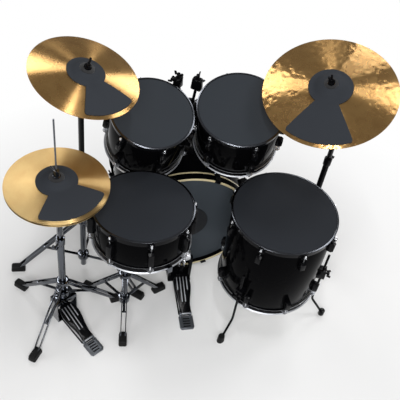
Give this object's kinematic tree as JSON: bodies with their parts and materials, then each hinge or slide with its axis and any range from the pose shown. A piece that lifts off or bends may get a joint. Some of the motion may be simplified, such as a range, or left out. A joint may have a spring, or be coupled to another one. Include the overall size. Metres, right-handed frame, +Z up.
{
  "type": "acoustic drum kit",
  "caption": "Acoustic drum kit with bass drum, toms, snare, hi-hat and cymbals on stands, foot pedals, and black mute pads on every drum and cymbal.",
  "frame": {"origin": "on the floor under the middle of the kit's bounding box", "axes": "+X to the drummer's right, +Y away from the drummer, +Z up"},
  "size_m": [1.4659, 0.8941, 1.1505],
  "materials": {
    "black_metal": "gloss black enamel on steel",
    "black_shell": "gloss black lacquer on ply",
    "board_alloy": "black coated cast alloy",
    "bronze": "lathed bronze",
    "chrome": "bright chrome plate",
    "head_film": "smooth polyester film",
    "hoop_wood": "black lacquered maple with pale inlay lines",
    "pad_rubber": "matte charcoal foam rubber",
    "steel_wire": "drawn steel"
  },
  "bodies": {
    "kit": {"bass_shell": "black_shell", "bass_hoops": "hoop_wood", "bass_heads": "head_film", "bass_claws_and_rods": "black_metal", "bass_lugs_and_spur_brackets": "black_metal", "bass_mute_pad": "pad_rubber", "tom_holder_base": "chrome", "snare_stand_base": "chrome", "hihat_stand_base": "chrome", "crash_stand_base": "chrome", "ride_stand_base": "chrome", "bass_pedal_frame": "chrome", "floor_tom_shell": "black_shell", "floor_tom_hoops": "black_metal", "floor_tom_heads": "head_film", "floor_tom_lugs_and_rods": "black_metal", "floor_tom_mute_pad": "pad_rubber"},
    "bass_spur_left": {"bass_spur_left": "black_metal"},
    "bass_spur_right": {"bass_spur_right": "black_metal"},
    "floor_tom_leg_left": {"floor_tom_leg_left": "black_metal"},
    "floor_tom_leg_right": {"floor_tom_leg_right": "black_metal"},
    "floor_tom_leg_back": {"floor_tom_leg_back": "black_metal"},
    "tom_holder_post": {"tom_holder_post": "chrome"},
    "left_tom_arm": {"left_tom_arm": "chrome"},
    "left_tom": {"left_tom_shell": "black_shell", "left_tom_hoops": "black_metal", "left_tom_heads": "head_film", "left_tom_lugs_and_rods": "black_metal", "left_tom_mute_pad": "pad_rubber"},
    "right_tom_arm": {"right_tom_arm": "chrome"},
    "right_tom": {"right_tom_shell": "black_shell", "right_tom_hoops": "black_metal", "right_tom_heads": "head_film", "right_tom_lugs_and_rods": "black_metal", "right_tom_mute_pad": "pad_rubber"},
    "snare_stand_tube": {"snare_stand_tube": "chrome"},
    "snare_basket": {"snare_basket": "chrome", "snare_wires": "steel_wire", "snare_shell": "black_shell", "snare_hoops": "black_metal", "snare_heads": "head_film", "snare_lugs_and_rods": "black_metal", "snare_mute_pad": "pad_rubber"},
    "snare_throw_off_lever": {"snare_throw_off_lever": "chrome"},
    "hihat_upper_tube": {"hihat_upper_tube": "chrome", "hihat_bottom_cymbal": "bronze"},
    "hihat_pull_rod": {"hihat_pull_rod": "chrome", "hihat_top_cymbal": "bronze", "hihat_mute_pad": "pad_rubber"},
    "hihat_footboard": {"hihat_footboard": "board_alloy"},
    "crash_upper_tube": {"crash_upper_tube": "black_metal"},
    "crash_tilter": {"crash_tilter": "chrome"},
    "crash_cymbal": {"crash_cymbal": "bronze", "crash_mute_pad": "pad_rubber"},
    "ride_upper_tube": {"ride_upper_tube": "black_metal"},
    "ride_boom": {"ride_boom": "black_metal"},
    "ride_cymbal": {"ride_cymbal": "bronze", "ride_mute_pad": "pad_rubber"},
    "bass_pedal_beater": {"bass_pedal_beater": "chrome"},
    "bass_pedal_footboard": {"bass_pedal_footboard": "board_alloy"}
  },
  "joints": [
    {"name": "spur_fold_left", "type": "hinge", "parent": "kit", "child": "bass_spur_left", "pos_m": [-0.2093, 0.262, 0.0807], "axis": [-0.8509, 0, 0.5253], "range_deg": [-60, 0]},
    {"name": "spur_fold_right", "type": "hinge", "parent": "kit", "child": "bass_spur_right", "pos_m": [0.2093, 0.262, 0.0807], "axis": [0.8509, 0, 0.5253], "range_deg": [0, 60]},
    {"name": "floor_tom_leg_slide_left", "type": "slide", "parent": "kit", "child": "floor_tom_leg_left", "axis": [0, 0, 1], "range_m": [0, 0.09]},
    {"name": "floor_tom_leg_slide_right", "type": "slide", "parent": "kit", "child": "floor_tom_leg_right", "axis": [0, 0, 1], "range_m": [0, 0.09]},
    {"name": "floor_tom_leg_slide_back", "type": "slide", "parent": "kit", "child": "floor_tom_leg_back", "axis": [0, 0, 1], "range_m": [0, 0.09]},
    {"name": "tom_post_height", "type": "slide", "parent": "kit", "child": "tom_holder_post", "axis": [0, 0, 1], "range_m": [0, 0.04]},
    {"name": "left_tom_swivel", "type": "hinge", "parent": "tom_holder_post", "child": "left_tom_arm", "pos_m": [0, 0.185, 0.757], "axis": [0, 0, 1], "range_deg": [-10, 0]},
    {"name": "left_tom_tilt", "type": "hinge", "parent": "left_tom_arm", "child": "left_tom", "pos_m": [-0.05305, 0.15698, 0.757], "axis": [-0.8843, -0.467, 0], "range_deg": [-5, 0]},
    {"name": "right_tom_swivel", "type": "hinge", "parent": "tom_holder_post", "child": "right_tom_arm", "pos_m": [0, 0.185, 0.785], "axis": [0, 0, 1], "range_deg": [0, 10]},
    {"name": "right_tom_tilt", "type": "hinge", "parent": "right_tom_arm", "child": "right_tom", "pos_m": [0.05311, 0.15709, 0.785], "axis": [0.8852, -0.4653, 0], "range_deg": [-6, 0]},
    {"name": "snare_height", "type": "slide", "parent": "kit", "child": "snare_stand_tube", "axis": [0, 0, 1], "range_m": [-0.05, 0]},
    {"name": "snare_basket_tilt", "type": "hinge", "parent": "snare_stand_tube", "child": "snare_basket", "pos_m": [-0.266, -0.199, 0.45325], "axis": [1, 0, 0], "range_deg": [0, 10]},
    {"name": "snare_throw_off", "type": "hinge", "parent": "snare_basket", "child": "snare_throw_off_lever", "pos_m": [-0.41176, -0.20155, 0.58625], "axis": [-0.2164, -0.9727, 0.0834], "range_deg": [0, 80]},
    {"name": "hihat_height", "type": "slide", "parent": "kit", "child": "hihat_upper_tube", "axis": [0, 0, 1], "range_m": [-0.06, 0]},
    {"name": "hihat_rod_travel", "type": "slide", "parent": "kit", "child": "hihat_pull_rod", "axis": [0, 0, 1], "range_m": [0, 0.016], "stiffness_N_per_m": 400, "springref_m": 0.03},
    {"name": "hihat_footboard_hinge", "type": "hinge", "parent": "kit", "child": "hihat_footboard", "pos_m": [-0.42485, -0.35786, 0.014], "axis": [0.848, 0.5299, 0], "range_deg": [-0.2, 5.53]},
    {"name": "crash_height", "type": "slide", "parent": "kit", "child": "crash_upper_tube", "axis": [0, 0, 1], "range_m": [0, 0.1]},
    {"name": "crash_tilt", "type": "hinge", "parent": "crash_upper_tube", "child": "crash_tilter", "pos_m": [-0.42355, 0.0182, 1.01495], "axis": [0.3584, 0.9336, 0], "range_deg": [-10, 10]},
    {"name": "crash_rock", "type": "hinge", "parent": "crash_tilter", "child": "crash_cymbal", "pos_m": [-0.40044, 0.00933, 1.10543], "axis": [0.3584, 0.9336, 0], "range_deg": [-5, 5], "stiffness_Nm_per_rad": 4},
    {"name": "ride_height", "type": "slide", "parent": "kit", "child": "ride_upper_tube", "axis": [0, 0, 1], "range_m": [0, 0.08]},
    {"name": "ride_boom_tilt", "type": "hinge", "parent": "ride_upper_tube", "child": "ride_boom", "pos_m": [0.589, 0.066, 0.77], "axis": [0.0826, -0.9966, 0], "range_deg": [-12, 0]},
    {"name": "ride_rock", "type": "hinge", "parent": "ride_boom", "child": "ride_cymbal", "pos_m": [0.47002, 0.01697, 1.01844], "axis": [0.6018, -0.7986, 0], "range_deg": [-5, 5], "stiffness_Nm_per_rad": 8},
    {"name": "bass_beater_swing", "type": "hinge", "parent": "kit", "child": "bass_pedal_beater", "pos_m": [-0.01, -0.07, 0.126], "axis": [-1, 0, 0], "range_deg": [0, 42], "stiffness_Nm_per_rad": 0.6, "springref_deg": -34.38},
    {"name": "bass_footboard_hinge", "type": "hinge", "parent": "kit", "child": "bass_pedal_footboard", "pos_m": [-0.01, -0.274, 0.014], "axis": [-1, 0, 0], "range_deg": [-0.2, 7.4]}
  ],
  "couplings": [
    {"joint": "hihat_footboard_hinge", "follows": "hihat_rod_travel", "rad_per_m": 5.814},
    {"joint": "bass_footboard_hinge", "follows": "bass_beater_swing", "ratio": 0.17442}
  ]
}
